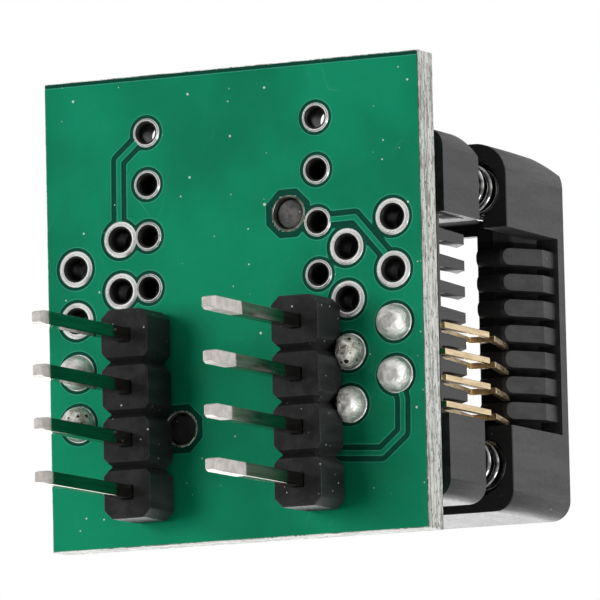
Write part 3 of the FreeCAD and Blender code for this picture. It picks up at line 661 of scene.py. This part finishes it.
def makeBoard():
    board = frame["nodes"]["circuit_board"].data
    board.materials.clear()
    board.materials.append(laminate())
    boardSkin("mask_under", underTraces, True, boardFace["underCell"], solderMask("maskUnder", 1.0))
    boardSkin("mask_upper", upperTraces, False, boardFace["upperCell"], solderMask("maskUpper", 0.8))
    tin = metal("padTin", dark=(0.80, 0.80, 0.78), light=(0.97, 0.96, 0.94), rough=(0.20, 0.32),
                lumps=0.8, depth=0.006, mirror=0.5)
    bare = metal("pegRing", dark=(0.22, 0.26, 0.20), light=(0.50, 0.55, 0.46), rough=(0.35, 0.6),
                 lumps=2.5, depth=0.01)
    # painted shade: the plated walls get near black plastic, dark as the holes' insides in shade
    wall = plastic("holeWallShade", dark=(0.005, 0.005, 0.005), light=(0.020, 0.020, 0.018),
                   rough=(0.35, 0.55), sheen=0.3, grains=5.0, depth=0.01, dustShare=0.0)
    tree = ringTree()
    groups = (("header", headerHoles(), tin), ("tail", tailHoles(), tin), ("peg", pegHoles(), bare))
    for seed, (name, places, ringMetal) in enumerate(groups, start=3):
        hole, pad = boardFace[name + "Hole"], boardFace[name + "Pad"]
        points = [(x * mm, y * mm, boardLow.z) for x, y in places]
        profiles = ringProfiles(hole, pad, ringShape[name + "Swell"])
        ring = revolved(name + "Ring", profiles, ringShape["sway"])
        barrel = revolved(name + "Wall", wallProfile(hole))
        for label, form, material in (("_pads", ring, ringMetal), ("_walls", barrel, wall)):
            one = bpy.data.objects.new(name + "One", form)
            values = {"Ring": one, "Seed": seed, "Turn": 2 * math.pi, "Metal": material}
            mesh = grown(name + label, tree, points, values)
            bpy.data.objects.remove(one)
            placed(name + label, mesh, material, "adapter", smooth=True)
    print("board: laminate, two mask faces, plated holes")


# Solder on the socket's tails, and on the pins above the board, in mm. The burnt joints are given by
# their order in tailHoles
solderShape = {"radius": 0.85, "height": 1.06, "pinRadius": 0.72, "pinHeight": 0.42, "rings": 14,
               "steps": 36, "shoulder": 0.72, "rise": 1.15, "lump": 0.045, "lumpPitch": 1.6,
               "sway": 0.10, "swayPitch": 1.9, "seedStep": 5.3, "pinSeed": 20, "housingGap": 0.04,
               "burnt": (0, 6)}


def blob(bm, centre, radius, height, down, seed, wallX=None):
    # a joint with a rounded shoulder, lumpier towards its top, and flat where it meets a housing
    sign = -1 if down else 1
    shape = solderShape
    previous = None
    for ring in range(shape["rings"] + 1):
        share = ring / shape["rings"]
        angle = share * math.pi / 2
        reach = radius * math.cos(angle) ** shape["shoulder"]
        rise = height * math.sin(angle) ** shape["rise"]
        loop = []
        for step in range(shape["steps"]):
            turn = 2 * math.pi * step / shape["steps"]
            probe = Vector((math.cos(turn) * reach * shape["lumpPitch"],
                            math.sin(turn) * reach * shape["lumpPitch"],
                            share * 2 + seed * shape["seedStep"]))
            lump = 1 + shape["lump"] * noise.noise(probe) * 2 * (0.3 + share)
            x = centre[0] + reach * math.cos(turn) * lump
            if wallX is not None:
                x = min(x, wallX) if centre[0] < wallX else max(x, wallX)
            y = centre[1] + reach * math.sin(turn) * lump
            sway = 1 + shape["sway"] * noise.noise(probe * shape["swayPitch"])
            z = centre[2] + sign * rise * sway
            loop.append(bm.verts.new((x * mm, y * mm, z * mm)))
        if previous:
            for step in range(shape["steps"]):
                following = (step + 1) % shape["steps"]
                bm.faces.new((previous[step], previous[following], loop[following], loop[step]))
        previous = loop
    bm.faces.new(previous)


def makeSolder():
    layout, shape = boardLayout, solderShape
    bright = metal("solderBright", dark=(0.66, 0.65, 0.62), light=(0.94, 0.93, 0.90), rough=(0.40, 0.58),
                   lumps=1.7, depth=0.09, mirror=0.65)
    pitted = metal("solderPitted", dark=(0.54, 0.51, 0.45), light=(0.92, 0.90, 0.85), rough=(0.38, 0.56),
                   lumps=2.6, depth=0.11, soil=0.10, mirror=0.7)
    tails = [place for place in tailHoles() if place[1] < layout["socketShift"]]  # half the row is fitted
    under = boardLow.z / mm - boardFace["raise"]
    housing = (layout["rowSpacing"] + layout["housingWidth"]) / 2 + shape["housingGap"]
    clean, soiled = bmesh.new(), bmesh.new()
    for seed, (x, y) in enumerate(tails):
        inner = abs(x) < (layout["outerTails"] + layout["innerTails"]) / 2
        wallX = math.copysign(housing, x) if inner else None
        bm = soiled if seed in shape["burnt"] else clean
        blob(bm, (x, y, under), shape["radius"], shape["height"], True, seed, wallX)
    onPins = bmesh.new()
    top = boardHigh.z / mm + boardFace["raise"]
    for seed, (x, y) in enumerate(headerHoles()):
        if seed % layout["columnHoles"] < layout["pinsInColumn"]:
            blob(onPins, (x, y, top), shape["pinRadius"], shape["pinHeight"], False, seed + shape["pinSeed"])
    for bm, name, material, node in ((clean, "tail_solder", bright, "socket_solder_joints"),
                                     (soiled, "tail_solder_burnt", pitted, "socket_solder_joints"),
                                     (onPins, "pin_solder", bright, "header_solder_joints")):
        bmesh.ops.recalc_face_normals(bm, faces=bm.faces)
        pieceOf(name, bm, material, "adapter", (node,), smooth=True)
    print("solder joints:", len(tails), "under the board")


# Header pins and their housings, in mm. The pale painted-reflection ends of a row go from its highest Y to
# its lowest
headerLook = {"pinEdge": 0.045, "pinSegments": 3, "housingEdge": 0.07, "endSide": 0.46, "taper": 0.4,
              "taperSearch": 1.5, "grooveHalf": 0.2, "grooveMiddle": (0.0, 0.0, 0.2),
              "grooveWidth": 9.0, "grooveDepth": 0.5, "shorter": {"a": 0.4, "b": 0.1},
              "paleReflectionEnds": {"a": (0.55, 0.6, 0.6, 0.65), "b": (2.95, 2.2, 1.7, 3.05)}}


def bluntTip(bm, shorter):
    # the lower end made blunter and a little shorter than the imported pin's, as it looks in the photograph
    look = headerLook
    middle = sum((vert.co for vert in bm.verts), Vector()) / len(bm.verts)
    halfSide = look["endSide"] / 2 * mm
    for vert in bm.verts:
        height = (vert.co.z - pinTip) / mm
        if height < look["taper"] / 2:
            for axis in (0, 1):
                vert.co[axis] = middle[axis] + math.copysign(halfSide, vert.co[axis] - middle[axis])
            vert.co.z = pinTip + shorter * mm
        elif height < look["taperSearch"]:
            vert.co.z = pinTip + (shorter + look["taper"]) * mm


def makeHeaders():
    look = headerLook
    pitch, pins = boardLayout["pinPitch"], boardLayout["pinsInColumn"]
    reach = pitch * (pins - 1) / 2
    # painted shade in the grooves between the housing's blocks
    grooveShade = {"middle": look["grooveMiddle"], "half": (look["grooveWidth"], reach, look["grooveDepth"]),
               "ribs": {"start": pitch / 2, "pitch": pitch, "half": pitch / 2 - look["grooveHalf"]}}
    black = plastic("headerPlastic", dark=(0.010, 0.010, 0.011), light=(0.026, 0.026, 0.027),
                    rough=(0.42, 0.62), sheen=0.35, grains=9.0, depth=0.012, dustShare=0.75,
                    paintedShades=(grooveShade,))
    wire = pinMetal()
    for row in "ab":
        softened(f"header_housing_{row}", f"header_strip_{row}", black, "adapter",
                 look["housingEdge"])
        shorter = look["shorter"][row]
        for index in range(1, pins + 1):
            node = f"header_pin_{row}{index}"
            pin = softened(node, f"square_pin_{row}{index}", wire, "adapter", look["pinEdge"],
                           look["pinSegments"], lambda bm: bluntTip(bm, shorter))
            low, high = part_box(node)
            order = round((pins - 1) / 2 - (low.y + high.y) / 2 / mm / pitch)
            # how far up the pin its painted reflection reaches
            length = look["paleReflectionEnds"][row][order] + shorter
            paleReflection = pin.data.attributes.new("paleReflectionEnd", "FLOAT", "POINT")
            paleReflection.data.foreach_set("value", [length] * len(paleReflection.data))
    print("headers: two housings, eight pins")


# Socket: base, cover, contacts, springs and the end of a peg, in mm
socketLook = {"edge": 0.06, "contactEdge": 0.03, "rough": (0.38, 0.56), "sheen": 0.36, "grains": 7.0,
              "depth": 0.012, "dustShare": 0.08, "wallHalf": 0.27, "ribHalf": 0.415}
springLook = {"wire": 0.15, "turns": 6.5, "turnSteps": 36, "wireSides": 12}
pegEnd = {"radius": 0.69, "rings": 9, "steps": 28, "middle": -0.06, "face": -0.05, "rim": 0.02,
          "rough": 0.07, "roughPitch": 5, "roughPlace": 4.0, "rimCalm": 0.5}


def springTree():
    # a round wire on a spiral, one at every point
    tree, start, end = nodeTree("CoilsAtPoints", {
        "Turns": "Float", "Radius": "Float", "Height": "Float", "Wire": "Float", "Steps": "Int",
        "Metal": "Material"})
    spiral = wired(tree, "GeometryNodeCurveSpiral", {
        "Resolution": start.outputs["Steps"], "Rotations": start.outputs["Turns"],
        "Start Radius": start.outputs["Radius"], "End Radius": start.outputs["Radius"],
        "Height": start.outputs["Height"]})
    section = wired(tree, "GeometryNodeCurvePrimitiveCircle", {
        "Resolution": springLook["wireSides"], "Radius": start.outputs["Wire"]})
    coil = wired(tree, "GeometryNodeCurveToMesh", {
        "Curve": spiral.outputs["Curve"], "Profile Curve": section.outputs["Curve"], "Fill Caps": True})
    coils = wired(tree, "GeometryNodeInstanceOnPoints", {
        "Points": start.outputs["Geometry"], "Instance": coil.outputs["Mesh"]})
    return closeTree(tree, start, end, coils)


def makeSprings():
    steel = metal("springSteel", dark=(0.12, 0.12, 0.12), light=(0.36, 0.355, 0.35), rough=(0.08, 0.15),
                  lumps=2.0, depth=0.002)
    wire = springLook["wire"] * mm
    points = []
    for order in range(1, 5):
        low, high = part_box(f"return_spring_{order}")
        middle = (low + high) / 2
        points.append((middle.x, middle.y, low.z + wire))
    # the four are alike, so the last one's box gives their size
    values = {"Turns": springLook["turns"], "Radius": (high.x - low.x) / 2 - wire,
              "Height": high.z - low.z - wire * 2, "Wire": wire, "Steps": springLook["turnSteps"],
              "Metal": steel}
    mesh = grown("return_springs", springTree(), points, values)
    nodes = [f"return_spring_{order}" for order in range(1, 5)]
    piece = placed("return_springs", mesh, steel, "adapter", nodes, smooth=True)
    travel = next(joint for joint in frame["joints"] if joint["name"] == "cover_press")["range_m"][1]
    1 - travel / (high.z - low.z)
    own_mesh(piece)
    print("springs: four coils of", springLook["turns"], "turns")


def makePegEnd():
    # the snapped-off face of the farther peg, deep in its hole: the nearer peg ends dark and smooth
    grey = plastic("pegPlastic", dark=(0.05, 0.05, 0.05), light=(0.16, 0.155, 0.15), rough=(0.55, 0.8),
                   sheen=0.5, grains=6.0, depth=0.08, dustShare=0.6)
    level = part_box("socket_base")[0].z / mm
    x, y = pegHoles()[1]
    rings, steps, pitch = pegEnd["rings"], pegEnd["steps"], pegEnd["roughPitch"]
    bm = bmesh.new()
    previous = [bm.verts.new((x * mm, y * mm, (level + pegEnd["middle"]) * mm))] * steps
    for ring in range(1, rings + 1):
        reach = pegEnd["radius"] * ring / rings
        loop = []
        for step in range(steps):
            turn = 2 * math.pi * step / steps
            across, along = math.cos(turn) * reach, math.sin(turn) * reach
            probe = Vector((across * pitch, along * pitch, pegEnd["roughPlace"]))
            rough = noise.noise(probe) * pegEnd["rough"] * (1 - ring / rings * pegEnd["rimCalm"])
            height = pegEnd["rim"] if ring == rings else pegEnd["face"] + rough
            loop.append(bm.verts.new(((x + across) * mm, (y + along) * mm, (level + height) * mm)))
        for step in range(steps):
            following = (step + 1) % steps
            corners = [previous[step], loop[step], loop[following]]
            if ring > 1:
                corners.append(previous[following])
            bm.faces.new(corners)
        previous = loop
    bmesh.ops.recalc_face_normals(bm, faces=bm.faces)
    for face in bm.faces:
        if face.normal.z > 0:
            face.normal_flip()
    pieceOf("peg_ends", bm, grey, "adapter", smooth=True)


def socketPaintedShades():
    # boxes of painted shade: in the cover its cavity, the gaps between its ribs and its lower edge, and in
    # the base the gaps between its comb walls
    shift, pitch = boardLayout["socketShift"], boardLayout["chipPitch"]
    coverRibs = {"start": shift, "pitch": pitch, "half": socketLook["ribHalf"]}
    baseWalls = {"start": shift, "pitch": pitch, "half": socketLook["wallHalf"]}
    cover = ({"middle": (0.0, shift, 14.0), "half": (8.6, 7.7, 4.15)},
             {"middle": (0.0, shift, 15.2), "half": (10.15, 5.3, 3.3), "ribs": coverRibs},
             {"middle": (0.0, shift, 12.2), "half": (10.4, 9.4, 0.35)})
    base = ({"middle": (0.0, shift, 7.8), "half": (9.9, 5.5, 1.8), "ribs": baseWalls},)
    return cover, base


def makeSocket():
    look = socketLook
    moulded = {name: look[name] for name in ("rough", "sheen", "grains", "depth", "dustShare")}
    coverPaintedShades, basePaintedShades = socketPaintedShades()
    baseBlack = plastic("basePlastic", dark=(0.017, 0.017, 0.018), light=(0.045, 0.045, 0.046),
                        paintedShades=basePaintedShades, **moulded)
    coverBlack = plastic("coverPlastic", dark=(0.021, 0.021, 0.022), light=(0.056, 0.056, 0.057),
                         paintedShades=coverPaintedShades, **moulded)
    softened("socket_base", "base_moulding", baseBlack, "adapter", look["edge"])
    softened("socket_cover", "cover_moulding", coverBlack, "cover", look["edge"])
    gold = contactGold()
    for row in "ab":
        for index in range(1, 5):
            softened(f"contact_{row}{index}", f"contact_post_{row}{index}", gold, "adapter",
                     look["contactEdge"], 1)
            softened(f"contact_arm_{row}{index}", f"contact_leaf_{row}{index}", gold, f"arms_{row}",
                     look["contactEdge"], 1)
    makeSprings()
    makePegEnd()
    print("socket: base, cover, eight contacts")


# Floor, light and camera. Each sky row has two heights where the brightness changes, then both strengths
white = (1.0, 1.0, 1.0, 1.0)
studio = {"floorGap": 0.02, "floorSide": 6.0, "floorFade": (0.03, 0.11), "paper": (0.86, 0.86, 0.85, 1.0),
          "ambient": 0.26, "skyBelow": (-0.85, -0.35, 0.30, 1.0), "skyAbove": (0.3, 0.85, 1.0, 0.84),
          "lampDistance": 0.42}
lamps = [
    {"name": "keyUnder", "from": (0.50, 0.05, -0.85), "share": 0.67, "side": 0.2, "mirrored": False},
    {"name": "fillUnder", "from": (-0.85, -0.36, -0.08), "share": 0.31, "side": 0.12, "mirrored": True},
    {"name": "keyUpper", "from": (0.45, -0.55, 0.75), "share": 0.66, "side": 0.3, "mirrored": True},
    {"name": "fillUpper", "from": (-0.7, 0.5, 0.5), "share": 0.30, "side": 0.35, "mirrored": True},
]
photoCamera = {"place": (-180.5, -44.415, -361.557), "turn": (-173.6516, -26.0546, -178.558),
               "lens": 509.35, "sensor": 36.0, "clip": (0.01, 20.0)}


def makeFloor():
    # pale floor: open from below, where the photograph's camera stands, and for all light but a direct look
    finish = finishOf("floor")
    opening = finish.add("ShaderNodeNewGeometry", out="Backfacing")
    for ray in ("Is Shadow Ray", "Is Diffuse Ray", "Is Glossy Ray"):
        opening = finish.most(opening, finish.add("ShaderNodeLightPath", out=ray))
    where = finish.add("ShaderNodeTexCoord", out="Object")
    reach = finish.add("ShaderNodeVectorMath", {"operation": "LENGTH"}, {0: where}, "Value")
    fade = finish.step(reach, *studio["floorFade"])
    paper = finish.add("ShaderNodeBsdfDiffuse", sockets={"Color": studio["paper"]})
    glow = finish.add("ShaderNodeEmission", sockets={"Color": white, "Strength": 1.0})
    pale = finish.add("ShaderNodeMixShader", sockets={0: fade, 1: paper, 2: glow})
    clear = finish.add("ShaderNodeBsdfTransparent")
    mixed = finish.add("ShaderNodeMixShader", sockets={0: opening, 1: pale, 2: clear})
    finish.add("ShaderNodeOutputMaterial", sockets={"Surface": mixed})
    half = studio["floorSide"] / 2
    level = cadLow.z - studio["floorGap"] * mm
    corners = [(x * half, y * half, level) for x, y in ((-1, -1), (1, -1), (1, 1), (-1, 1))]
    mesh = bpy.data.meshes.new("floor")
    mesh.from_pydata(corners, [], [(0, 1, 2, 3)])
    mesh.materials.append(finish.holder)
    floor = bpy.data.objects.new("floor", mesh)
    collection.objects.link(floor)


def makeWorld():
    # white where the camera looks, and in reflections all round, darker there straight below and above
    world = bpy.data.worlds.new("studio")
    bpy.context.scene.world = world
    finish = Finish(world)
    camera = finish.add("ShaderNodeLightPath", out="Is Camera Ray")
    glossy = finish.add("ShaderNodeLightPath", out="Is Glossy Ray")
    through = finish.add("ShaderNodeLightPath", out="Is Transmission Ray")
    direction = finish.add("ShaderNodeTexCoord", out="Generated")
    height = finish.add("ShaderNodeSeparateXYZ", sockets={"Vector": direction}, out="Z")
    around = finish.step(height, *studio["skyBelow"]) * finish.step(height, *studio["skyAbove"])
    strength = finish.most(camera, through)
    strength = finish.most(strength, glossy * around)
    strength = finish.most(strength, studio["ambient"])
    background = finish.add("ShaderNodeBackground", sockets={"Color": white, "Strength": strength})
    finish.add("ShaderNodeOutputWorld", sockets={"Surface": background})


def makeLamps():
    # the key lamp below isn't mirrored, because it stands near the board's mirror direction
    distance = studio["lampDistance"]
    middle = (cadLow + cadHigh) / 2
    for plan in lamps:
        lamp = bpy.data.lights.new(plan["name"], "AREA")
        lamp.shape = "SQUARE"
        lamp.size = plan["side"]
        lamp.energy = plan["share"] * (math.pi * distance) ** 2
        holder = bpy.data.objects.new(plan["name"], lamp)
        away = Vector(plan["from"]).normalized()
        holder.location = middle + away * distance
        holder.rotation_euler = away.to_track_quat("Z", "Y").to_euler()
        holder.visible_camera = False
        holder.visible_glossy = plan["mirrored"]
        collection.objects.link(holder)


def makeCamera():
    camera = bpy.data.cameras.new("photoCamera")
    camera.lens = photoCamera["lens"]
    camera.sensor_width = photoCamera["sensor"]
    camera.clip_start, camera.clip_end = photoCamera["clip"]
    holder = bpy.data.objects.new("photoCamera", camera)
    holder.location = [value * mm for value in photoCamera["place"]]
    holder.rotation_euler = Euler([math.radians(value) for value in photoCamera["turn"]], "XYZ")
    collection.objects.link(holder)
    bpy.context.scene.camera = holder


makeCamera()
makeFloor()
makeWorld()
makeLamps()
makeBoard()
makeSolder()
makeHeaders()
makeSocket()

bpy.context.scene.view_settings.view_transform = "Standard"
